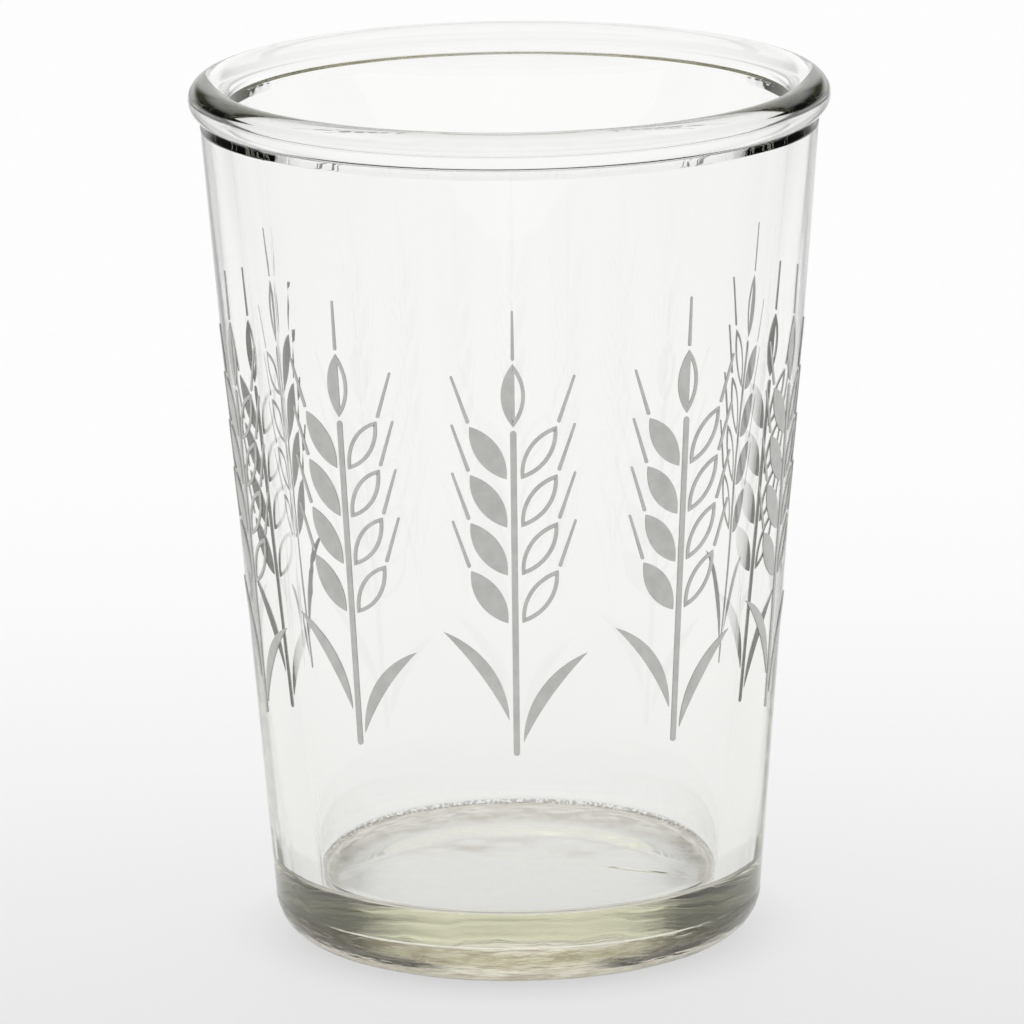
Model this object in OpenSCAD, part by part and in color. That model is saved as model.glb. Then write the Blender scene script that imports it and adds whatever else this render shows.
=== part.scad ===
// Tasting glass: a tapered tumbler of thick pressed glass with a round rim bead, a heavy
// base, and a row of upright barley ears printed round its front in fired enamel.
// Millimetres. +Z is up, and the origin is the middle of the face that stands on the table.

/* [Glass body] */
// Height from the table to the top of the rim
glass_height = 96; // [84:1:120]
// Outside diameter over the rim bead
rim_diameter = 70; // [62:0.5:80]
// Outside diameter of the wall, carried straight down to the table
base_diameter = 53; // [46:0.5:58]
// Wall thickness where the wall meets the inner floor
base_wall = 4.8; // [3:0.1:6]

/* [Rim bead] */
// Thickness of the round bead
bead_diameter = 4.2; // [3.4:0.1:5.4]
// How far the bead stands out from the wall below it
bead_overhang = 1.2; // [0.6:0.1:1.6]
// How far the bead stands into the mouth from the wall below it
bead_lip = 0.3; // [0.1:0.1:0.6]

/* [Base] */
// Glass between the table and the edge of the inner floor
floor_thickness = 8; // [6:0.5:14]
// Rise of the inner floor from its edge to its middle
floor_crown = 0.3; // [0.1:0.1:1]
// Radius of the inner corner between the wall and the floor
corner_radius = 0.8; // [0.6:0.1:3]
// Radius of the heel, where the wall turns under
heel_radius = 5; // [3:0.5:6]
// Width of the flat ring that stands on the table
standing_ring = 3; // [2:0.5:6]
// Depth of the shallow hollow inside the standing ring
hollow_depth = 0.4; // [0.3:0.1:2]

/* [Print] */
// Number of printed ears, in a row with its middle at the front
ear_count = 7; // [3:1:9]
// Angle round the glass from one ear to the next
ear_spacing = 36; // [34:1:40]
// Thickness of the fired enamel
enamel = 0.12; // [0.08:0.02:0.2]
// Clearance between the enamel and the glass under it
enamel_clearance = 0.06; // [0.04:0.01:0.1]
// Height of the foot of each stem above the table
stem_foot = 27; // [16:1:32]
// Length of the bare stem below the lowest grains
stem_length = 15; // [12:1:20]
// Width of the stem
stem_width = 0.7; // [0.5:0.1:1.2]
// Bare gap that parts the stem, grains, awns and leaves from each other
print_gap = 0.4; // [0.3:0.05:0.8]

/* [Grains] */
// Pairs of grains along the stem, below the one at its tip
grain_pairs = 4; // [2:1:5]
// Length of a grain
grain_length = 7; // [5:0.2:9]
// Width of a grain
grain_width = 2.6; // [2:0.1:3.2]
// Angle between a grain and the stem
grain_lean = 34; // [28:1:42]
// Width of the line round an open grain
outline = 0.42; // [0.3:0.02:0.6]
// Length of the awn beyond each grain
awn_length = 5.5; // [3:0.5:9]
// Width of an awn
awn_width = 0.4; // [0.3:0.05:0.6]
// Angle between an awn and the stem
awn_lean = 19; // [10:1:26]

/* [Leaves] */
// Straight length of a leaf from its foot to its tip
leaf_length = 12; // [9:0.5:14]
// Widest part of a leaf
leaf_width = 1.4; // [0.8:0.1:2]
// How far a leaf arches over from a straight line
leaf_arch = 1.2; // [1:0.1:1.8]
// Height of the foot of the lower leaf on the stem
leaf_foot = 1.5; // [0.5:0.5:4]
// How much higher the leaf on the other side starts
leaf_step = 2.5; // [0:0.5:4]

/* [Hidden] */
$fn = 180;
arc_steps = 12;
crown_steps = 8;
glass_colour = [0.86, 0.9, 0.86, 0.4];
enamel_colour = [0.73, 0.73, 0.71];

// Rim bead: the ring that its round section follows
bead_ring_radius = (rim_diameter - bead_diameter) / 2;
bead_height = glass_height - bead_diameter / 2;

// Outer wall: a straight taper from the table up into the bead
neck_height = glass_height - bead_diameter;
neck_radius = rim_diameter / 2 - bead_overhang;
wall_slope = (neck_radius - base_diameter / 2) / neck_height;
function wall_radius(height) = base_diameter / 2 + wall_slope * height;

// Inner wall: a slightly steeper taper from the floor up into the bead
floor_radius = wall_radius(floor_thickness) - base_wall;
mouth_radius = rim_diameter / 2 - bead_diameter + bead_lip;
inner_slope = (mouth_radius - floor_radius) / (bead_height - floor_thickness);
function inner_radius(height) = floor_radius + inner_slope * (height - floor_thickness);

// A round turn from a level line at the given height into a tapered wall, from below
function turn(wall_at_centre, slope, height, radius) =
    let (middle = wall_at_centre - radius * sqrt(1 + slope * slope))
    [for (i = [0 : arc_steps])
        let (angle = -90 + (90 - atan(slope)) * i / arc_steps)
        [middle + radius * cos(angle), height + radius + radius * sin(angle)]];

// A shallow dome from the axis out to a radius, standing up from a level line
function dome(radius, height, rise) =
    [for (i = [0 : crown_steps - 1])
        let (share = i / crown_steps)
        [radius * share, height + rise * (1 - share * share)]];

function reversed(points) = [for (i = [len(points) - 1 : -1 : 0]) points[i]];

heel = turn(wall_radius(heel_radius), wall_slope, 0, heel_radius);
corner = turn(inner_radius(floor_thickness + corner_radius), inner_slope,
              floor_thickness, corner_radius);
hollow_radius = heel[0][0] - standing_ring;

// Print: each ear is drawn flat, with its stem's foot at the origin, and laid on the wall.
// The grains of one side lie a gap apart, and the leaves leave the stem upright.
grain_pitch = (grain_width + print_gap) / sin(grain_lean);
leaf_lean = 2 * atan((2 * leaf_arch + leaf_width) / leaf_length);
stem_side = stem_width / 2 + print_gap;
tip_foot = stem_length + grain_pairs * grain_pitch + print_gap;
ear_height = tip_foot + grain_length + print_gap + awn_length;

ear_names = [for (i = [1 : ear_count]) str("ear_print_", i)];

// Half of the glass's section, in one outline from the middle of the underside
module wall_section() {
    polygon(concat(
        dome(hollow_radius, 0, hollow_depth),
        [[hollow_radius, 0]],
        heel,
        [[wall_radius(bead_height), bead_height], [mouth_radius, bead_height]],
        reversed(corner),
        reversed(dome(corner[0][0], floor_thickness, floor_crown))));
}

module glass_body() {
    color(glass_colour)
    rotate_extrude()
    union() {
        wall_section();
        translate([bead_ring_radius, bead_height])
        circle(d = bead_diameter);
    }
}

// A pointed oval, upright and centred, drawn in from its edge by the given inset
module pointed_oval(length, width, inset = 0) {
    radius = (length * length + width * width) / (4 * width);
    intersection_for (side = [-1, 1])
        translate([side * (radius - width / 2), 0])
        circle(r = radius - inset);
}

// A grain standing on the origin: solid enamel left of the given line, a thin edge right of it
module grain(open_from) {
    translate([0, grain_length / 2])
    difference() {
        pointed_oval(grain_length, grain_width);
        intersection() {
            pointed_oval(grain_length, grain_width, outline);
            translate([open_from, -grain_length / 2])
            square([grain_width * 2, grain_length]);
        }
    }
}

// The bristle beyond the tip of a grain that stands on the origin and leans by the given angle
module awn(lean) {
    translate([0, grain_length])
    rotate(lean - awn_lean * sign(lean))
    translate([-awn_width / 2, print_gap])
    square([awn_width, awn_length]);
}

// A curved leaf from the origin upwards, hollow side to the right
module leaf() {
    difference() {
        leaf_round(leaf_arch + leaf_width / 2);
        leaf_round(leaf_arch - leaf_width / 2);
    }
}

// The disc whose edge passes through both ends of a leaf and arches to the left between them
module leaf_round(arch) {
    radius = (leaf_length * leaf_length / 4 + arch * arch) / (2 * arch);
    translate([radius - arch, leaf_length / 2])
    circle(r = radius);
}

module ear_outline() {
    translate([-stem_width / 2, 0])
    square([stem_width, tip_foot - print_gap]);

    // Right of the stem the grains are open, and left of it solid
    for (side = [0, 1])
        mirror([side, 0]) {
            for (pair = [0 : grain_pairs - 1])
                translate([stem_side, stem_length + pair * grain_pitch])
                rotate(-grain_lean) {
                    grain(side == 0 ? -grain_width : grain_width);
                    awn(grain_lean);
                }
            translate([stem_side, leaf_foot + side * leaf_step])
            rotate(-leaf_lean)
            leaf();
        }

    // The grain at the tip is half of each
    translate([0, tip_foot]) {
        grain(outline / 2);
        awn(0);
    }
}

// The skin of enamel that lies on the outer wall over the height of the ears
module print_skin() {
    low = stem_foot - enamel;
    high = stem_foot + ear_height + enamel;
    rotate_extrude()
    translate([enamel_clearance, 0])
    polygon([
        [wall_radius(low), low],
        [wall_radius(low) + enamel, low],
        [wall_radius(high) + enamel, high],
        [wall_radius(high), high]]);
}

module ear_print(index) {
    color(enamel_colour)
    rotate([0, 0, ear_spacing * (index - (ear_count + 1) / 2)])
    intersection() {
        print_skin();
        translate([0, 0, stem_foot])
        rotate([90, 0, 0])
        linear_extrude(height = rim_diameter)
        ear_outline();
    }
}

glass_body();
for (i = [1 : ear_count])
    ear_print(i);
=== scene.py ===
# %% [markdown]
# A tasting glass, dressed for its picture.
#
# The glass is a tapered tumbler of thick pressed glass with a round bead at the rim and a heavy
# base. A row of barley ears is printed round its front in pale grey enamel and fired on.
# The CAD model of it comes in first as a fixed frame, in metres: one glass body and seven printed
# ears. Everything below is modelled in that frame, so no piece needs fitting afterwards.

# %% Load the frame
import math

import bpy
from mathutils import Matrix, Vector


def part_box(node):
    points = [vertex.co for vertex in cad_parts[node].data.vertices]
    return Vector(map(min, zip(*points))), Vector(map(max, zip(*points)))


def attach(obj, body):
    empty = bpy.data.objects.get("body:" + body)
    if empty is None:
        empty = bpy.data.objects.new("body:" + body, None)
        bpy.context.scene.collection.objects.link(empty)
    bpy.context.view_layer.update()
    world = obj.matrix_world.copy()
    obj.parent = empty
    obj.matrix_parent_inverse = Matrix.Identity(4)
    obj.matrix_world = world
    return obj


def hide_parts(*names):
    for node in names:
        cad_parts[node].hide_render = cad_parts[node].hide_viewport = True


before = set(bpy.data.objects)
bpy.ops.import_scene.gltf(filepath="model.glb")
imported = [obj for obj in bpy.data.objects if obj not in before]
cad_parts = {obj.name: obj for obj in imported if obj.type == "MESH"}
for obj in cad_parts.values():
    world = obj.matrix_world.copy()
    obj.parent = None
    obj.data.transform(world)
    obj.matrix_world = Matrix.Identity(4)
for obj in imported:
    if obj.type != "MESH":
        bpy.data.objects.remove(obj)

MM = 0.001
scene = bpy.context.scene
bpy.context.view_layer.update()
glass_low, glass_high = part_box("glass_body")
hair = 0.001 * MM
glass_height = glass_high.z - glass_low.z - hair
rim_radius = min(glass_high.x - glass_low.x, glass_high.y - glass_low.y) / 2 - hair
print(f"frame: {len(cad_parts)} nodes, glass {glass_height / MM:.1f} mm tall, "
      f"rim {2 * rim_radius / MM:.1f} mm")

# %% [markdown]
# The camera. The picture was taken from about a metre away through a long lens, a little above the
# rim, so the glass tapers mostly because it really does. A camera can be placed by eye, but here its
# distance, tilt and lens were worked out from the ellipses of the rim and base, which is exact enough
# to lay the render over the picture. It is rolled by less than a degree, as the picture is.

# %% Camera
image_pixels = 1024
camera_distance = 1013.9 * MM
camera_tilt = math.radians(13.346)
camera_roll = math.radians(0.675)
focal_pixels = 9217
aim_left = 0.22 * MM
aim_low = 0.85 * MM

camera_turn = Matrix.Rotation(math.pi / 2 - camera_tilt, 4, "X") @ Matrix.Rotation(-camera_roll, 4, "Z")
glass_middle = Vector((0, 0, glass_height / 2))
camera_place = glass_middle + camera_turn @ Vector((-aim_left, -aim_low, camera_distance))
bpy.ops.object.select_all(action="DESELECT")
bpy.ops.object.camera_add(location=camera_place, rotation=camera_turn.to_euler())
camera = bpy.context.object
camera.name = "picture_camera"
camera.data.sensor_width = 36
camera.data.lens = focal_pixels / image_pixels * camera.data.sensor_width
camera.data.clip_start = 0.05
scene.camera = camera
print(f"camera: {camera.data.lens:.0f} mm lens, {camera_place.length:.2f} m from the glass")

# %% [markdown]
# A pen for outlines. Pressed glass is a body of revolution, so the usual way to model it is to draw
# half of its section and spin that round the axis. The print is drawn flat in the same way. Two small
# helpers work as a pen would: one extrudes the last point straight to the next, and one spins it
# round a centre, which gives a true arc.

# %% Pen
def begin_outline(name, point):
    """Starts a new mesh as a single point: a small plane, merged into its middle."""
    bpy.ops.object.select_all(action="DESELECT")
    bpy.ops.mesh.primitive_plane_add(size=MM, location=(point[0], 0, point[1]))
    outline = bpy.context.object
    outline.name = name
    bpy.ops.object.transform_apply(location=True, rotation=True, scale=True)
    bpy.ops.object.mode_set(mode="EDIT")
    bpy.ops.mesh.merge(type="CENTER")
    return Vector((point[0], 0, point[1]))


def draw_to(pen, point, steps=1):
    """Extrudes the pen's point in a straight line to another one, in equal steps."""
    step = (Vector((point[0], 0, point[1])) - pen) / steps
    for _ in range(steps):
        bpy.ops.mesh.extrude_region_move(TRANSFORM_OT_translate={"value": step})
    return pen + step * steps


def swing(pen, centre, angle, steps):
    """Spins the pen's point round a centre by an angle, anticlockwise as seen from the front."""
    centre = Vector((centre[0], 0, centre[1]))
    bpy.ops.mesh.spin(steps=steps, angle=angle, center=centre, axis=(0, 1, 0))
    return centre + Matrix.Rotation(-angle, 3, "Y") @ (pen - centre)


print("pen ready")

# %% [markdown]
# The section of the glass. The sizes are the CAD part's own, with a thousandth of a millimetre taken off
# the height and the rim, so that rounding never takes a point out of its box. To them come some small
# things that the mould leaves and the CAD part does without. Just under the bead a narrow collar leans
# in from the wall: it is hardly there, but at both sides it bends the dark room into view as a short
# black band. A ridge as thin as a hair runs round the bead where the ring of the mould met its body, a
# tight curve joins the bead to the wall inside, and the plunger that pressed the inside left a fine
# raised line round the floor.

# %% Sizes of the section
bead_radius = 2.1 * MM
bead_overhang = 1.2 * MM
bead_lip = 0.3 * MM
lip_fillet = 0.25 * MM
collar_height = 91 * MM
collar_end = math.radians(-80)
ridge_turn = math.radians(23)
ridge_half = 0.2 * MM
ridge_height = 0.04 * MM
base_radius = 26.5 * MM
base_wall = 4.8 * MM
floor_height = 8 * MM
floor_crown = 0.3 * MM
line_half = 0.18 * MM
line_height = 0.10 * MM
corner_radius = 0.8 * MM
heel_radius = 5 * MM
standing_ring = 3 * MM
hollow_depth = 0.4 * MM

bead_centre = Vector((rim_radius - bead_radius, glass_height - bead_radius))
neck_height = glass_height - 2 * bead_radius
wall_lean = math.atan2(rim_radius - bead_overhang - base_radius, neck_height)
floor_radius = base_radius + floor_height * math.tan(wall_lean) - base_wall
mouth_radius = rim_radius - 2 * bead_radius + bead_lip
inner_lean = math.atan2(mouth_radius - floor_radius, bead_centre.y - floor_height)


def wall_radius(height):
    return base_radius + height * math.tan(wall_lean)


def inner_radius(height):
    return floor_radius + (height - floor_height) * math.tan(inner_lean)


print(f"section: wall leans {math.degrees(wall_lean):.2f} degrees outside, "
      f"{math.degrees(inner_lean):.2f} inside")

# %% [markdown]
# Centres of the arcs. Each round of the section is a true arc, so the pen needs its centre and its turn.
# The heel and the inner corner touch a level line and a leaning wall, so their centres lie one radius
# away from both. The tight curve inside touches the bead above it and the wall below it, and its centre
# lies where the two distances meet. The floor and the hollow underneath are shallow domes.

# %% Centres of the arcs
def dome_centre(half_width, top, rise):
    """Centre of the arc that rises from the given half width to its top on the axis."""
    return (0, top - (half_width ** 2 + rise ** 2) / (2 * rise))


def on_bead(angle, radius=bead_radius):
    """The point of the bead's section at an angle, from the outside upwards."""
    return bead_centre + radius * Vector((math.cos(angle), math.sin(angle)))


# Inside: an arc that touches the bead above it and the wall below
inner_up = Vector((math.sin(inner_lean), math.cos(inner_lean)))
inner_out = Vector((-math.cos(inner_lean), math.sin(inner_lean)))
lip_in = (Vector((mouth_radius, bead_centre.y)) - bead_centre).dot(inner_out) + lip_fillet
lip_drop = math.sqrt((bead_radius + lip_fillet) ** 2 - lip_in ** 2)
lip_centre = bead_centre + inner_out * lip_in - inner_up * lip_drop
lip_turn = math.acos(lip_in / (bead_radius + lip_fillet))
lip_foot = lip_centre - inner_out * lip_fillet
bead_end = math.atan2(*reversed(lip_centre - bead_centre)) + 2 * math.pi

heel_centre = (wall_radius(heel_radius) - heel_radius / math.cos(wall_lean), heel_radius)
hollow_radius = heel_centre[0] - standing_ring
hollow_centre = dome_centre(hollow_radius, hollow_depth, hollow_depth - hair)
corner_height = floor_height + corner_radius
corner_inset = corner_radius / math.cos(inner_lean)
corner_centre = Vector((inner_radius(corner_height) - corner_inset, corner_height))
corner_end = corner_centre + corner_radius * Vector((math.cos(inner_lean), -math.sin(inner_lean)))
crown_top = floor_height + floor_crown
crown_centre = dome_centre(corner_centre.x, crown_top, floor_crown)
crown_arc = crown_top - crown_centre[1]
line_end = corner_centre.x - 2 * line_half


def crown_height(radius):
    return crown_centre[1] + math.sqrt(crown_arc ** 2 - radius ** 2)


print(f"bead: turns {math.degrees(bead_end - collar_end):.0f} degrees from collar to lip")

# %% [markdown]
# Drawing the half-section, from the middle of the underside round the outside to the middle of the
# floor. The walls get a short step next to the collar and the lip, so that the smooth shading of these
# tight corners doesn't spread down the wall.

# %% Draw the half-section
wall_steps = 12
collar_steps = 8
inner_steps = 24
short_step = 0.12 * MM
ridge_share = ridge_half / bead_radius
collar_foot = collar_height - short_step

pen = begin_outline("glass_tumbler", (0, hollow_depth))
pen = swing(pen, hollow_centre, -math.asin(hollow_radius / (hollow_depth - hollow_centre[1])), 20)
pen = draw_to(pen, (heel_centre[0], hair), 5)
pen = swing(pen, heel_centre, math.pi / 2 - wall_lean, 20)
pen = draw_to(pen, (wall_radius(collar_foot), collar_foot), wall_steps)
pen = draw_to(pen, (wall_radius(collar_height), collar_height))
pen = draw_to(pen, on_bead(collar_end), collar_steps)
pen = swing(pen, bead_centre, ridge_turn - ridge_share - collar_end, 22)
pen = draw_to(pen, on_bead(ridge_turn, bead_radius + ridge_height))
pen = draw_to(pen, on_bead(ridge_turn + ridge_share))
pen = swing(pen, bead_centre, bead_end - ridge_turn - ridge_share, 34)
pen = swing(pen, lip_centre, -lip_turn, 6)
pen = draw_to(pen, lip_foot - inner_up * short_step)
pen = draw_to(pen, corner_end, inner_steps)
pen = swing(pen, corner_centre, inner_lean - math.pi / 2, 10)
pen = draw_to(pen, (corner_centre.x - line_half, floor_height + line_height))
pen = draw_to(pen, (line_end, crown_height(line_end)))
pen = swing(pen, crown_centre, math.asin(line_end / crown_arc), 22)
print(f"half-section ends at radius {pen.x / MM:.4f} mm, height {pen.z / MM:.3f} mm")

# %% [markdown]
# Spinning it. A full turn of 460 steps keeps the rim smooth even where its bead is seen edge-on. The
# last ring of points falls on the first, so doubles are merged, and the normals are then turned
# outwards, because glass bends light the wrong way round if they point in.

# %% Spin the glass
around = 460
bpy.ops.mesh.select_all(action="SELECT")
bpy.ops.mesh.spin(steps=around, angle=2 * math.pi, center=(0, 0, 0), axis=(0, 0, 1))
bpy.ops.mesh.select_all(action="SELECT")
bpy.ops.mesh.remove_doubles(threshold=0.0005 * MM)
bpy.ops.mesh.normals_make_consistent(inside=False)
glass = bpy.context.object
bpy.ops.object.mode_set(mode="OBJECT")
print(f"glass: {len(glass.data.vertices)} points, {len(glass.data.polygons)} faces")

# %% [markdown]
# The collar fades out at the back. It is there round the front and the sides, but behind, where the far
# side of the rim is seen through the mouth, the wall runs straight up into the bead. A cone with the
# taper of the wall stands in for it, and a Shrinkwrap modifier draws the points of the collar onto the
# cone, with a weight that grows step by step from the sides to the back.

# %% Fade the collar out
fade_from = math.radians(100)
fade_to = math.radians(130)
fade_steps = 10
cone_low = collar_height - 5 * MM
cone_high = bead_centre.y


def select_points(piece, wanted):
    """Selects the points that pass a test, and leaves the piece in edit mode."""
    bpy.ops.object.select_all(action="DESELECT")
    piece.select_set(True)
    bpy.context.view_layer.objects.active = piece
    bpy.ops.object.mode_set(mode="EDIT")
    bpy.ops.mesh.select_mode(type="VERT")
    bpy.ops.mesh.select_all(action="DESELECT")
    bpy.ops.object.mode_set(mode="OBJECT")
    for point in piece.data.vertices:
        point.select = wanted(point.co)
    bpy.ops.object.mode_set(mode="EDIT")


def in_collar(point):
    """Outside and under the bead, but within the line on which the wall would run on."""
    under_bead = collar_height + 0.01 * MM < point.z < bead_centre.y - 1.5 * MM
    return under_bead and bead_centre.x < point.xy.length < wall_radius(point.z)


def turn_from_front(point):
    return abs(math.atan2(point.x, -point.y))


bpy.ops.mesh.primitive_cone_add(vertices=around, depth=cone_high - cone_low, end_fill_type="NOTHING",
                                radius1=wall_radius(cone_low), radius2=wall_radius(cone_high),
                                location=(0, 0, (cone_low + cone_high) / 2))
straight_wall = bpy.context.object
collar_weight = glass.vertex_groups.new(name="collar_fade")
collar_points = [point.co for point in glass.data.vertices if in_collar(point.co)]
faded = sum(1 for point in collar_points if turn_from_front(point) > fade_from)
print(f"collar: {faded} of its {len(collar_points)} points fade into the wall")
for step in range(1, fade_steps + 1):
    begin = fade_from + (fade_to - fade_from) * step / fade_steps
    select_points(glass, lambda point: in_collar(point) and turn_from_front(point) > begin)
    scene.tool_settings.vertex_group_weight = step / fade_steps
    bpy.ops.object.vertex_group_assign()
    bpy.ops.object.mode_set(mode="OBJECT")
fade = glass.modifiers.new("fade_collar", "SHRINKWRAP")
fade.target = straight_wall
fade.wrap_method = "NEAREST_SURFACEPOINT"
fade.vertex_group = collar_weight.name
bpy.ops.object.modifier_apply(modifier=fade.name)
bpy.ops.object.vertex_group_remove(all=True)
bpy.data.objects.remove(straight_wall)

# %% [markdown]
# Mould seams. The body of the mould opens in two halves, so a pressed glass carries two fine upright
# ridges opposite each other. Three cuts side by side give each ridge its two feet and its top, and
# scaling the middle line outwards by a fraction of a percent raises it.

# %% Mould seams
seam_azimuth = math.radians(-51.3)
seam_half = 0.25 * MM
seam_rise = 1.0006
seam_across = Vector((math.cos(seam_azimuth), math.sin(seam_azimuth), 0))


def on_seam(point):
    outside = point.xy.length > wall_radius(point.z) - 0.02 * MM
    on_wall = heel_radius < point.z < collar_height + 0.01 * MM
    return outside and on_wall and abs(point.dot(seam_across)) < 0.002 * MM


bpy.ops.object.mode_set(mode="EDIT")
for offset in (-seam_half, 0, seam_half):
    bpy.ops.mesh.select_all(action="SELECT")
    bpy.ops.mesh.bisect(plane_co=seam_across * offset, plane_no=seam_across, threshold=0.001 * MM)
bpy.ops.object.mode_set(mode="OBJECT")
select_points(glass, on_seam)
bpy.ops.transform.resize(value=(seam_rise, seam_rise, 1), center_override=(0, 0, 0))
bpy.ops.object.mode_set(mode="OBJECT")
seam_points = [point for point in glass.data.vertices if on_seam(point.co)]
print(f"seams: {len(seam_points)} points raised")

# %% [markdown]
# Waves from the press. The plunger and the mould chill the glass as it is squeezed, so a pressed glass
# is never quite true. Its faint waves show as streaks wherever something dark is seen through the glass.
# A Displace modifier with a cloud texture moves the points by a few hundredths of a millimetre, and an
# empty that is stretched or squashed turns the clouds into upright or level streaks.

# %% Waves from the press
def add_waves(piece, wanted, wave_size, stretch, height):
    """Moves the wanted points in and out by a cloud pattern, stretched upwards."""
    select_points(piece, wanted)
    bpy.ops.object.vertex_group_add()
    bpy.ops.object.vertex_group_assign()
    bpy.ops.object.mode_set(mode="OBJECT")
    group_name = piece.vertex_groups.active.name
    bpy.ops.object.empty_add()
    ruler = bpy.context.object
    ruler.scale = (wave_size, wave_size, wave_size * stretch)
    bpy.context.view_layer.update()
    bpy.context.view_layer.objects.active = piece
    clouds = bpy.data.textures.new("press_waves", "CLOUDS")
    clouds.noise_scale = 1
    waves = piece.modifiers.new("press_waves", "DISPLACE")
    waves.texture = clouds
    waves.texture_coords = "OBJECT"
    waves.texture_coords_object = ruler
    waves.vertex_group = group_name
    waves.strength = height
    waves.mid_level = 0.5
    moved = sum(1 for point in piece.data.vertices if wanted(point.co))
    bpy.ops.object.modifier_apply(modifier=waves.name)
    bpy.ops.object.vertex_group_remove(all=True)
    bpy.data.textures.remove(clouds)
    bpy.data.objects.remove(ruler)
    print(f"waves: {moved} points, up to {height / MM / 2:.3f} mm either way")


print("waves ready")

# %% [markdown]
# Where the waves lie. The inner wall has long upright waves, the floor and the underside have shallow
# ripples, the heel has level ones, and the collar has slight dents. The edge of the floor is rough at
# the back. Each test below picks the points of one of these places.

# %% Where the waves lie
def inside_wall(point):
    between = corner_height + 0.5 * MM < point.z < lip_foot.y - 0.5 * MM
    return between and point.xy.length < inner_radius(point.z) + 0.1 * MM


def on_floor(point):
    return abs(point.z - floor_height) < 0.6 * MM and point.xy.length < corner_centre.x


def floor_edge(point):
    in_band = floor_height - 0.1 * MM < point.z < corner_height - 0.1 * MM and point.y > -6 * MM
    return in_band and corner_centre.x - 0.3 * MM < point.xy.length < inner_radius(point.z) + 0.1 * MM


def underneath(point):
    return 0.06 * MM < point.z < 1 * MM and point.xy.length < hollow_radius


def on_heel(point):
    return 0.3 * MM < point.z < heel_radius - 0.3 * MM and point.xy.length > heel_centre[0] + 0.5 * MM


def on_collar(point):
    between = collar_height + 0.05 * MM < point.z < on_bead(collar_end).y - 0.05 * MM
    return between and point.xy.length > bead_centre.x


add_waves(glass, inside_wall, 9 * MM, 5, 0.05 * MM)
add_waves(glass, on_floor, 10 * MM, 1, 0.16 * MM)
add_waves(glass, floor_edge, 0.7 * MM, 1, 0.05 * MM)
add_waves(glass, underneath, 12 * MM, 1, 0.10 * MM)
add_waves(glass, on_heel, 5 * MM, 0.3, 0.10 * MM)
add_waves(glass, on_collar, 5 * MM, 1, 0.06 * MM)

# %% [markdown]
# The shear mark. A pressed glass starts as a gob that a pair of shears cuts from the stream of molten
# glass. The cut chills and stays in the glass as a short scar, here on the floor to the right. One row
# of points, raised by a tenth of a millimetre, is enough to catch the light.

# %% Shear mark
mark_azimuth = math.radians(-26)
mark_reach = (11 * MM, 18.5 * MM)
mark_height = 0.12 * MM


def on_mark(point):
    turn = math.atan2(point.y, point.x) - mark_azimuth
    along = mark_reach[0] < point.xy.length < mark_reach[1]
    return on_floor(point) and along and abs(turn) < math.pi / around


select_points(glass, on_mark)
bpy.ops.transform.translate(value=(0, 0, mark_height))
bpy.ops.object.mode_set(mode="OBJECT")
bpy.ops.object.shade_smooth_by_angle(angle=math.radians(45))
print(f"shear mark: {(mark_reach[1] - mark_reach[0]) / MM:.1f} mm long")

# %% [markdown]
# Helpers for finishes. A finish that isn't painted is a web of nodes, where noise and distances are bent
# into colours and roughness. Four helpers each add one node to a web and return its output, so that the
# finishes below read almost like formulas.

# %% Helpers for finishes
def add_math(tree, operation, first, second=None):
    """A Math node on two values, each of them a number or another node's output."""
    node = tree.nodes.new("ShaderNodeMath")
    node.operation = operation
    for socket, value in zip(node.inputs, (first, second)):
        if isinstance(value, (int, float)):
            socket.default_value = value
        elif value is not None:
            tree.links.new(value, socket)
    return node.outputs[0]


def add_ramp(tree, value, low, high, start=0, end=1):
    """A smooth step from start to end, while the value goes from low to high."""
    node = tree.nodes.new("ShaderNodeMapRange")
    node.interpolation_type = "SMOOTHSTEP"
    node.inputs["From Min"].default_value = low
    node.inputs["From Max"].default_value = high
    node.inputs["To Min"].default_value = start
    node.inputs["To Max"].default_value = end
    tree.links.new(value, node.inputs["Value"])
    return node.outputs["Result"]


def add_noise(tree, position, size, detail=2):
    """Cloudy noise between 0 and 1, with blotches of about the given size in metres."""
    node = tree.nodes.new("ShaderNodeTexNoise")
    node.inputs["Scale"].default_value = 1 / size
    node.inputs["Detail"].default_value = detail
    tree.links.new(position, node.inputs["Vector"])
    return node.outputs["Fac"]


def add_bump(tree, height, distance):
    """A Bump node for a height map, given how far its white stands above its black."""
    node = tree.nodes.new("ShaderNodeBump")
    node.inputs["Distance"].default_value = distance
    node.inputs["Strength"].default_value = 1
    tree.links.new(height, node.inputs["Height"])
    return node.outputs["Normal"]


print("helpers for finishes ready")

# %% [markdown]
# The finish of the glass. Soda-lime glass has an index of about 1.52 and a faint yellow-green tint that
# only shows where light travels far through it, as in the base, so the tint is an absorbing volume
# and not a colour on the surface. Most of the glass was fire-polished and is clear. The heel, where the
# wall turns under, touched the cold mould: its skin is dull in level streaks, and brownish smears of
# painted shade darken its colour in place of the table and its shadow seen through it. At the back of
# the floor's edge the plunger left a ring of tiny pits, whose shade is painted in as dark specks. Both
# are drawn by noise, in zones that follow the height and the radius.

# %% Glass finish
glass_index = 1.52
dull_roughness = 0.25
clear = bpy.data.materials.new("pressed_clear_glass")
clear.use_nodes = True
tree = clear.node_tree
shader = tree.nodes["Principled BSDF"]
shader.inputs["Base Color"].default_value = (1, 1, 1, 1)
shader.inputs["IOR"].default_value = glass_index
shader.inputs["Transmission Weight"].default_value = 1

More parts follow.
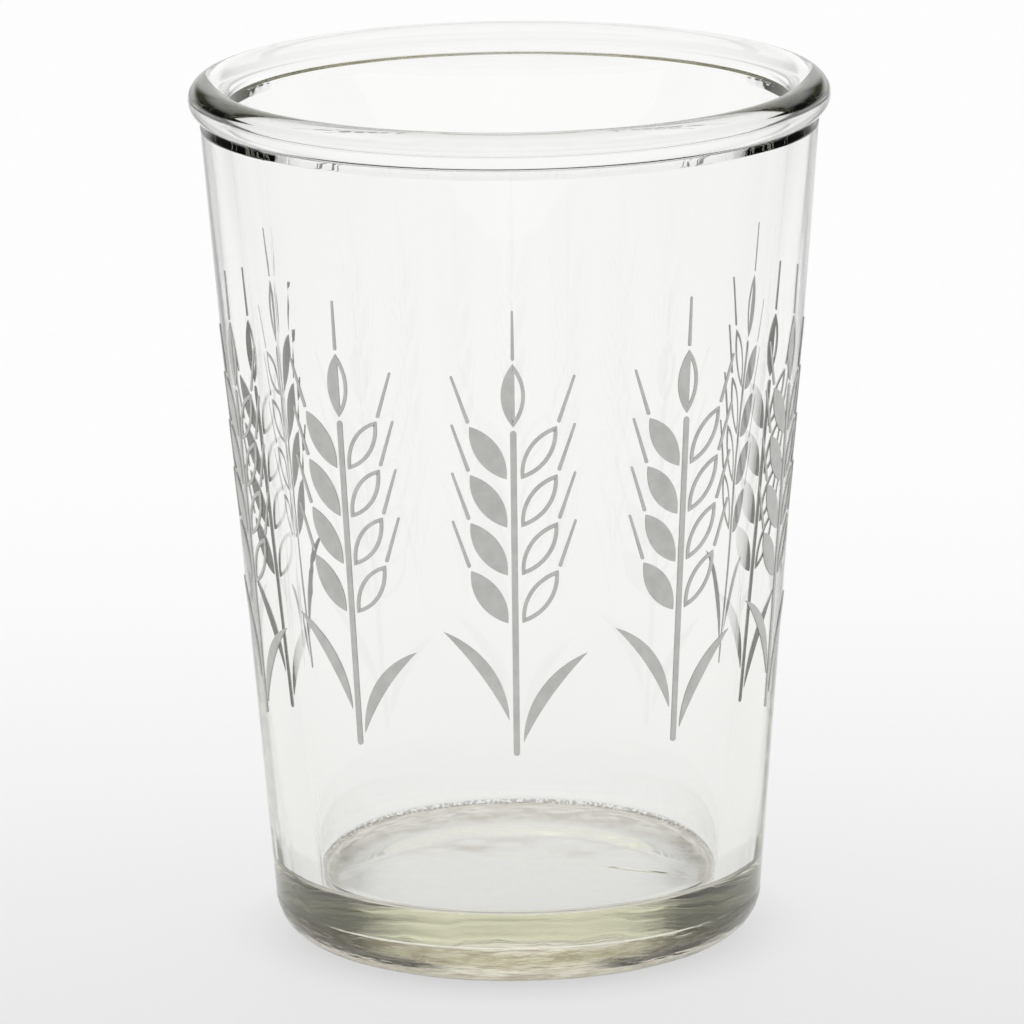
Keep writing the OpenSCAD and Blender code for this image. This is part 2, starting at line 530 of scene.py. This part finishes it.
place = tree.nodes.new("ShaderNodeTexCoord").outputs["Object"]
split = tree.nodes.new("ShaderNodeSeparateXYZ")
tree.links.new(place, split.inputs["Vector"])
flat = tree.nodes.new("ShaderNodeCombineXYZ")
tree.links.new(split.outputs["X"], flat.inputs["X"])
tree.links.new(split.outputs["Y"], flat.inputs["Y"])
span = tree.nodes.new("ShaderNodeVectorMath")
span.operation = "LENGTH"
tree.links.new(flat.outputs["Vector"], span.inputs[0])
low_down = add_ramp(tree, split.outputs["Z"], heel_radius - 0.3 * MM, heel_radius, 1, 0)
outside = add_ramp(tree, span.outputs["Value"], hollow_radius, heel_centre[0], 0, 1)
skin = add_math(tree, "MULTIPLY", low_down, outside)
streaks = tree.nodes.new("ShaderNodeMapping")
streaks.inputs["Scale"].default_value = (1, 1, 6)
tree.links.new(place, streaks.inputs["Vector"])
chill = add_noise(tree, streaks.outputs["Vector"], 3 * MM)
dull = add_ramp(tree, chill, 0.3, 0.7, 0.05, dull_roughness)
tree.links.new(add_math(tree, "MULTIPLY", skin, dull), shader.inputs["Roughness"])

# Painted shade: brownish smears darken the heel's colour, in place of the table and its shadow seen
# through the glass.
heel_painted_shade = tree.nodes.new("ShaderNodeValToRGB")
heel_painted_shade.color_ramp.elements[0].position = 0.38
heel_painted_shade.color_ramp.elements[0].color = (0.43, 0.37, 0.29, 1)
heel_painted_shade.color_ramp.elements[1].position = 0.62
heel_painted_shade.color_ramp.elements[1].color = (0.86, 0.82, 0.72, 1)
tree.links.new(chill, heel_painted_shade.inputs["Fac"])
heel_shade_colour = tree.nodes.new("ShaderNodeMix")
heel_shade_colour.data_type = "RGBA"
heel_shade_colour.inputs[6].default_value = (1, 1, 1, 1)
tree.links.new(skin, heel_shade_colour.inputs["Factor"])
tree.links.new(heel_painted_shade.outputs["Color"], heel_shade_colour.inputs[7])

near_floor = add_ramp(tree, split.outputs["Z"], floor_height + 0.25 * MM, floor_height + 0.5 * MM, 1, 0)
above_base = add_ramp(tree, split.outputs["Z"], heel_radius, floor_height - 0.5 * MM)
at_edge = add_ramp(tree, span.outputs["Value"], corner_centre.x - 0.3 * MM, corner_centre.x)
inside = add_ramp(tree, span.outputs["Value"], corner_end.x + 0.2 * MM, corner_end.x + 0.4 * MM, 1, 0)
edge_zone = add_math(tree, "MULTIPLY", add_math(tree, "MULTIPLY", near_floor, above_base),
                     add_math(tree, "MULTIPLY", at_edge, inside))
towards_back = add_ramp(tree, split.outputs["Y"], -14 * MM, 2 * MM)
# Painted shade: dark specks in the glass's colour at the back of the floor's edge, for the shade of the
# plunger's tiny pits.
pits = add_ramp(tree, add_noise(tree, place, 0.4 * MM, 3), 0.4, 0.56)
pit_shade_share = add_math(tree, "MULTIPLY", add_math(tree, "MULTIPLY", edge_zone, towards_back), pits)
pit_painted_shade = tree.nodes.new("ShaderNodeMix")
pit_painted_shade.data_type = "RGBA"
pit_painted_shade.inputs[7].default_value = (0.33, 0.32, 0.30, 1)
tree.links.new(pit_shade_share, pit_painted_shade.inputs["Factor"])
tree.links.new(heel_shade_colour.outputs[2], pit_painted_shade.inputs[6])
tree.links.new(pit_painted_shade.outputs[2], shader.inputs["Base Color"])
tree.links.new(add_bump(tree, add_math(tree, "MULTIPLY", skin, chill), 0.1 * MM), shader.inputs["Normal"])

tint = tree.nodes.new("ShaderNodeVolumeAbsorption")
tint.inputs["Color"].default_value = (0.84, 0.835, 0.62, 1)
tint.inputs["Density"].default_value = 10
tree.links.new(tint.outputs["Volume"], tree.nodes["Material Output"].inputs["Volume"])
glass.data.materials.append(clear)
print(f"glass finish: {len(tree.nodes)} nodes")

# %% [markdown]
# The print, drawn flat. An ear of barley is a stem with pairs of grains, each with a long bristle, an
# awn, beyond its tip, and two leaves below. A screen print is made of separate strokes with a little
# bare glass between them. Each kind of stroke is drawn once with the pen, and copied later.

# %% Strokes: stem and awn
stem_foot = 27 * MM
stem_length = 15 * MM
stem_width = 0.7 * MM
print_gap = 0.4 * MM
grain_pairs = 4
grain_length = 7 * MM
grain_width = 2.6 * MM
grain_lean = math.radians(34)
grain_pitch = (grain_width + print_gap) / math.sin(grain_lean)
tip_foot = stem_length + grain_pairs * grain_pitch + print_gap
awn_length = 5.5 * MM
awn_width = 0.4 * MM
awn_tip = 0.26 * MM
awn_lean = math.radians(19)


def close_outline():
    """Joins the last point to the first, fills the outline and returns the finished shape."""
    bpy.ops.mesh.select_all(action="SELECT")
    bpy.ops.mesh.remove_doubles(threshold=0.001 * MM)
    bpy.ops.mesh.edge_face_add()
    bpy.ops.object.mode_set(mode="OBJECT")
    return bpy.context.object


def draw_stroke(name, length, foot_width, tip_width):
    """An upright stroke from the origin, round at both ends."""
    foot_half = foot_width / 2
    tip_half = tip_width / 2
    pen = begin_outline(name, (-foot_half, foot_half))
    pen = swing(pen, (0, foot_half), math.pi, 8)
    pen = draw_to(pen, (tip_half, length - tip_half))
    pen = swing(pen, (0, length - tip_half), math.pi, 8)
    return close_outline()


stem = draw_stroke("stem", tip_foot - print_gap, stem_width, stem_width)
awn = draw_stroke("awn", awn_length, awn_width, awn_tip)
print(f"strokes: stem {stem.dimensions.z / MM:.1f} mm, awn {awn.dimensions.z / MM:.1f} mm")

# %% [markdown]
# Grains. A grain is a pointed oval: two arcs that meet at its ends. On one side of the stem the grains
# are solid, on the other only their edge is printed, which an inset makes. The grain at the tip is
# half of each, so its inner face is cut along the middle and one half is taken away.

# %% Grains
edge_width = 0.42 * MM
grain_arc = (grain_length ** 2 + grain_width ** 2) / (4 * grain_width)
grain_side = grain_arc - grain_width / 2
grain_turn = 2 * math.asin(grain_length / 2 / grain_arc)


def copy_piece(piece, name):
    """A copy of a piece with a mesh of its own, left selected and active."""
    bpy.ops.object.select_all(action="DESELECT")
    piece.select_set(True)
    bpy.context.view_layer.objects.active = piece
    bpy.ops.object.duplicate(linked=False)
    copy = bpy.context.object
    copy.name = name
    return copy


def inset_edge():
    """In edit mode, sets the printed edge of an open grain off from its middle."""
    bpy.ops.mesh.select_all(action="SELECT")
    bpy.ops.mesh.inset(thickness=edge_width, use_even_offset=True)


pen = begin_outline("solid_grain", (0, 0))
pen = swing(pen, (-grain_side, grain_length / 2), grain_turn, 16)
pen = swing(pen, (grain_side, grain_length / 2), grain_turn, 16)
solid_grain = close_outline()

open_grain = copy_piece(solid_grain, "open_grain")
bpy.ops.object.mode_set(mode="EDIT")
inset_edge()
bpy.ops.mesh.delete(type="FACE")
bpy.ops.object.mode_set(mode="OBJECT")

tip_grain = copy_piece(solid_grain, "tip_grain")
bpy.ops.object.mode_set(mode="EDIT")
inset_edge()
bpy.ops.mesh.bisect(plane_co=(edge_width / 2, 0, 0), plane_no=(1, 0, 0))
bpy.ops.mesh.select_all(action="DESELECT")
bpy.ops.object.mode_set(mode="OBJECT")
for face in tip_grain.data.polygons:
    face.select = len(face.vertices) > 5 and face.center.x > edge_width / 2
bpy.ops.object.mode_set(mode="EDIT")
bpy.ops.mesh.delete(type="FACE")
bpy.ops.object.mode_set(mode="OBJECT")
print(f"grains: solid {len(solid_grain.data.polygons)}, open {len(open_grain.data.polygons)}, "
      f"tip {len(tip_grain.data.polygons)} faces")

# %% [markdown]
# Leaves. A leaf is a crescent: two arcs through its foot and its tip, one arched more than the other.

# %% Leaf
leaf_length = 12 * MM
leaf_width = 1.4 * MM
leaf_arch = 1.2 * MM
leaf_foot = 1.5 * MM
leaf_step = 2.5 * MM
leaf_lean = 2 * math.atan((2 * leaf_arch + leaf_width) / leaf_length)


def leaf_arc(arch):
    """Centre and turn of the arc from the foot of the leaf to its tip, arched to the left."""
    radius = (leaf_length ** 2 / 4 + arch ** 2) / (2 * arch)
    return (radius - arch, leaf_length / 2), 2 * math.asin(leaf_length / 2 / radius)


outer_centre, outer_turn = leaf_arc(leaf_arch + leaf_width / 2)
inner_centre, inner_turn = leaf_arc(leaf_arch - leaf_width / 2)
pen = begin_outline("leaf", (0, 0))
pen = swing(pen, outer_centre, -outer_turn, 24)
pen = swing(pen, inner_centre, inner_turn, 24)
leaf = close_outline()
print(f"leaf: {leaf.dimensions.z / MM:.1f} mm long, leans {math.degrees(leaf_lean):.0f} degrees")

# %% [markdown]
# Setting the ear together. Each stroke is copied to its place beside the stem, the left side mirrored,
# and all of them are joined into one flat ear.

# %% One flat ear
stem_side = stem_width / 2 + print_gap


def set_stroke(stroke, name, foot, lean, side=1):
    """A copy of a stroke, leaning away from the stem, with its foot at the given place."""
    copy = copy_piece(stroke, name)
    copy.scale = (side, 1, 1)
    bpy.ops.object.transform_apply(location=False, rotation=False, scale=True)
    copy.rotation_euler = (0, side * lean, 0)
    copy.location = (side * foot[0], 0, foot[1])
    bpy.ops.object.transform_apply(location=True, rotation=True, scale=True)
    return copy


def beyond(foot, length, lean):
    """The place at the given length from a foot, in the direction of the lean."""
    return (foot[0] + length * math.sin(lean), foot[1] + length * math.cos(lean))


strokes = [stem]
for side, grain in ((1, open_grain), (-1, solid_grain)):
    for pair in range(grain_pairs):
        foot = (stem_side, stem_length + pair * grain_pitch)
        awn_foot = beyond(beyond(foot, grain_length, grain_lean), print_gap, awn_lean)
        strokes.append(set_stroke(grain, "grain", foot, grain_lean, side))
        strokes.append(set_stroke(awn, "awn", awn_foot, awn_lean, side))
    leaf_height = leaf_foot if side == 1 else leaf_foot + leaf_step
    strokes.append(set_stroke(leaf, "leaf", (stem_side, leaf_height), leaf_lean, side))
strokes.append(set_stroke(tip_grain, "tip", (0, tip_foot), 0))
strokes.append(set_stroke(awn, "tip_awn", (0, tip_foot + grain_length + print_gap), 0))

bpy.ops.object.select_all(action="DESELECT")
for stroke in (awn, leaf, solid_grain, open_grain, tip_grain):
    stroke.select_set(True)
bpy.ops.object.delete()
for stroke in strokes:
    stroke.select_set(True)
bpy.context.view_layer.objects.active = stem
bpy.ops.object.join()
ear = bpy.context.object
ear.name = "barley_ear"
print(f"ear: {len(strokes)} strokes, {ear.dimensions.x / MM:.1f} by {ear.dimensions.z / MM:.1f} mm")

# %% [markdown]
# Cuts to bend along. A flat face stays flat however it is projected, so the ear is cut upright every
# millimetre, to follow the round of the wall, and across every second one. Faces that ended up with
# their backs to the viewer are flipped, so that all of them gain their thickness outwards.

# %% Cut it so that it can bend
cut_step = 1 * MM
cut_half = 10 * MM
bpy.ops.object.mode_set(mode="EDIT")
for index in range(int(2 * cut_half / cut_step) + 1):
    bpy.ops.mesh.select_all(action="SELECT")
    bpy.ops.mesh.bisect(plane_co=(index * cut_step - cut_half, 0, 0), plane_no=(1, 0, 0))
for index in range(1, 26):
    bpy.ops.mesh.select_all(action="SELECT")
    bpy.ops.mesh.bisect(plane_co=(0, 0, 2 * index * cut_step), plane_no=(0, 0, 1))
bpy.ops.mesh.select_all(action="DESELECT")
bpy.ops.object.mode_set(mode="OBJECT")
for face in ear.data.polygons:
    face.select = face.normal.y > 0
bpy.ops.object.mode_set(mode="EDIT")
bpy.ops.mesh.flip_normals()
bpy.ops.object.mode_set(mode="OBJECT")
print(f"cut ear: {len(ear.data.polygons)} faces, all facing the viewer")

# %% [markdown]
# Laying it on the wall. The enamel is printed on the flat side of a screen and rolls onto the glass.
# Here the flat ear is held in front of the glass and projected straight onto the wall with a Shrinkwrap
# modifier, and a Solidify modifier gives it its thickness. It starts a little inside the surface,
# because the firing melts the enamel into the glass: seen from inside there is no film of air.

# %% Lay the ear on the wall
enamel_sunk = 0.02 * MM
enamel_thickness = 0.13 * MM
ear.location = (0, -1.3 * rim_radius, stem_foot)
bpy.ops.object.transform_apply(location=True, rotation=True, scale=True)
wrap = ear.modifiers.new("lay_on", "SHRINKWRAP")
wrap.target = glass
wrap.wrap_method = "PROJECT"
wrap.use_project_y = True
wrap.use_positive_direction = True
wrap.use_negative_direction = False
wrap.offset = -enamel_sunk
bpy.ops.object.modifier_apply(modifier=wrap.name)
body = ear.modifiers.new("enamel_body", "SOLIDIFY")
body.thickness = enamel_thickness
body.offset = 1
body.use_even_offset = True
bpy.ops.object.modifier_apply(modifier=body.name)
bpy.ops.object.shade_smooth_by_angle(angle=math.radians(40))
ear_front = min(point.co.y for point in ear.data.vertices)
print(f"ear on the wall: {len(ear.data.polygons)} faces, front at {ear_front / MM:.2f} mm")

# %% [markdown]
# The row. The same screen prints every ear, so the finished one is copied and turned round the axis.

# %% Seven ears
ear_count = 7
ear_spacing = math.radians(36)
ears = []
for index in range(1, ear_count + 1):
    copy = copy_piece(ear, f"barley_ear_{index}")
    copy.rotation_euler = (0, 0, ear_spacing * (index - (ear_count + 1) / 2))
    bpy.ops.object.transform_apply(location=True, rotation=True, scale=True)
    ears.append(copy)
bpy.ops.object.select_all(action="DESELECT")
ear.select_set(True)
bpy.ops.object.delete()
print(f"row: {len(ears)} ears, {math.degrees(ear_spacing):.0f} degrees apart")

# %% [markdown]
# The enamel is ground glass with a white pigment. It fires to a pale warm grey with a satin skin, and
# the screen leaves it slightly uneven: thin spots look a shade darker, and its skin is faintly pebbled.

# %% Enamel finish
enamel = bpy.data.materials.new("fired_enamel")
enamel.use_nodes = True
tree = enamel.node_tree
shader = tree.nodes["Principled BSDF"]
place = tree.nodes.new("ShaderNodeTexCoord").outputs["Object"]
patches = tree.nodes.new("ShaderNodeValToRGB")
patches.color_ramp.elements[0].position = 0.3
patches.color_ramp.elements[0].color = (0.51, 0.515, 0.49, 1)
patches.color_ramp.elements[1].position = 0.7
patches.color_ramp.elements[1].color = (0.60, 0.605, 0.58, 1)
tree.links.new(add_noise(tree, place, 1.5 * MM, 4), patches.inputs["Fac"])
tree.links.new(patches.outputs["Color"], shader.inputs["Base Color"])
pebbles = add_noise(tree, place, 0.12 * MM)
tree.links.new(add_ramp(tree, pebbles, 0.2, 0.8, 0.38, 0.55), shader.inputs["Roughness"])
tree.links.new(add_bump(tree, pebbles, 0.01 * MM), shader.inputs["Normal"])
shader.inputs["IOR"].default_value = 1.5
for piece in ears:
    piece.data.materials.append(enamel)
print(f"enamel on {len(ears)} ears")

# %% [markdown]
# The floor is a sheet of white paper, wide enough for the picture and greyer beyond its sides. Its
# colour holds painted shade, darker towards the viewer as if the light stood behind the glass, and a
# painted shadow under the glass. Most of its brightness is its own glow, which only the camera sees,
# also through the glass and in reflections, and the glow carries the same painted shade. The rest of
# it takes light as paper does and keeps a soft shadow.

# %% Floor
floor_half = 3
# Painted shade on the paper: darker in front than behind, and a painted shadow under the glass.
front_level = 0.73
back_level = 0.99
glow_share = 0.84
sheet_edge = (0.16, 0.24)
table_level = 0.75
painted_shadow_reach = (20 * MM, 34 * MM)
painted_shadow_level = 0.86
bpy.ops.object.select_all(action="DESELECT")
bpy.ops.mesh.primitive_plane_add(size=2 * floor_half, location=(0, 0, -0.02 * MM))
floor = bpy.context.object
floor.name = "studio_floor"
bpy.ops.object.transform_apply(location=True, rotation=True, scale=True)


def seen_directly(tree):
    """1 for what the camera sees, also in a reflection or through glass, and 0 for stray light."""
    path = tree.nodes.new("ShaderNodeLightPath")
    seen = add_math(tree, "MAXIMUM", path.outputs["Is Camera Ray"], path.outputs["Is Glossy Ray"])
    return add_math(tree, "MAXIMUM", seen, path.outputs["Is Transmission Ray"])


paper = bpy.data.materials.new("white_paper")
paper.use_nodes = True
tree = paper.node_tree
place = tree.nodes.new("ShaderNodeTexCoord")
split = tree.nodes.new("ShaderNodeSeparateXYZ")
tree.links.new(place.outputs["Object"], split.inputs["Vector"])
# Painted shade: the paper's colour darkens from behind the glass towards the viewer.
along = add_ramp(tree, split.outputs["Y"], -0.25, 0.25, front_level, back_level)
across = add_ramp(tree, add_math(tree, "ABSOLUTE", split.outputs["X"]), *sheet_edge, 1, table_level)
away = tree.nodes.new("ShaderNodeVectorMath")
away.operation = "LENGTH"
tree.links.new(place.outputs["Object"], away.inputs[0])
# Painted shadow: the paper's colour darkens under the glass and just round it.
under = add_ramp(tree, away.outputs["Value"], *painted_shadow_reach, painted_shadow_level, 1)
paper_and_painted_shade = add_math(tree, "MULTIPLY", under, add_math(tree, "MULTIPLY", along, across))
paper_shader = tree.nodes["Principled BSDF"]
tree.links.new(paper_and_painted_shade, paper_shader.inputs["Base Color"])
paper_shader.inputs["Roughness"].default_value = 0.5
glow = tree.nodes.new("ShaderNodeEmission")
tree.links.new(paper_and_painted_shade, glow.inputs["Strength"])
blend = tree.nodes.new("ShaderNodeMixShader")
tree.links.new(add_math(tree, "MULTIPLY", seen_directly(tree), glow_share), blend.inputs["Fac"])
tree.links.new(paper_shader.outputs["BSDF"], blend.inputs[1])
tree.links.new(glow.outputs["Emission"], blend.inputs[2])
tree.links.new(blend.outputs["Shader"], tree.nodes["Material Output"].inputs["Surface"])
floor.data.materials.append(paper)
print(f"floor: from {front_level} in front to {back_level} behind")

# %% [markdown]
# The studio. Clear glass has no look of its own: it shows the room. Here the world is that room, as a
# function of direction: white paper low down all round, a dark room above it, a narrow white panel
# behind the glass, and a wide soft light overhead. The dark room to the sides is what darkens the ends
# of the bead and the sides of the base, and a dark gap in the panel draws the thin line under the front
# of the bead. Only the camera sees the room so, also in reflections and through glass; for everything
# else the world is an even, white light.

# %% Studio
room_level = 0.04
ambient = 1.0
sweep_top = (0.04, 0.18)
panel_side = (0.15, 0.35)
light_tilt = math.radians(23)
light_half = math.radians(50)
light_soft = math.radians(5)
light_level = 0.95
strip_low = (0.72, 0.80)
strip_high = (0.97, 1.07)
world = bpy.data.worlds.new("studio")
scene.world = world
world.use_nodes = True
sky = world.node_tree
background = sky.nodes["Background"]
look = sky.nodes.new("ShaderNodeTexCoord")
parts = sky.nodes.new("ShaderNodeSeparateXYZ")
sky.links.new(look.outputs["Generated"], parts.inputs["Vector"])
rise = parts.outputs["Z"]
behind = add_ramp(sky, parts.outputs["Y"], 0, 0.05)
depth = add_math(sky, "MAXIMUM", parts.outputs["Y"], 0.02)
across = add_math(sky, "DIVIDE", add_math(sky, "ABSOLUTE", parts.outputs["X"]), depth)
panel = add_math(sky, "MULTIPLY", behind, add_ramp(sky, across, *panel_side, 1, 0))
sweep = add_ramp(sky, rise, *sweep_top, 1, room_level)
toward = sky.nodes.new("ShaderNodeVectorMath")
toward.operation = "DOT_PRODUCT"
toward.inputs[1].default_value = (0, math.sin(light_tilt), math.cos(light_tilt))
sky.links.new(look.outputs["Generated"], toward.inputs[0])
light_edge = (math.cos(light_half + light_soft), math.cos(light_half - light_soft))
light = add_ramp(sky, toward.outputs["Value"], *light_edge, 0, light_level)
upward = add_math(sky, "DIVIDE", rise, depth)
below_strip = add_ramp(sky, upward, *strip_low, 1, 0)
above_strip = add_ramp(sky, upward, *strip_high)
strip = add_math(sky, "MAXIMUM", below_strip, above_strip)
lamps = add_math(sky, "MULTIPLY", strip, add_math(sky, "MAXIMUM", panel, light))
shown = add_math(sky, "MAXIMUM", lamps, sweep)
seen = seen_directly(sky)
lit = add_math(sky, "MULTIPLY", add_math(sky, "SUBTRACT", 1, seen), ambient)
level = add_math(sky, "ADD", add_math(sky, "MULTIPLY", seen, shown), lit)
sky.links.new(level, background.inputs["Strength"])
background.inputs["Color"].default_value = (1, 1, 1, 1)

scene.view_settings.view_transform = "Standard"
scene.cycles.max_bounces = 24
scene.cycles.transmission_bounces = 24
scene.cycles.glossy_bounces = 24
print(f"studio: {len(sky.nodes)} nodes")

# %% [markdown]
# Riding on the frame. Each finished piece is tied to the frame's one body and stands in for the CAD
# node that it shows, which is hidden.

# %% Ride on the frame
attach(glass, "root")
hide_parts("glass_body")
for index, piece in enumerate(ears, start=1):
    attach(piece, "root")
    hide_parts(f"ear_print_{index}")
print(f"{1 + len(ears)} pieces ride on the frame")
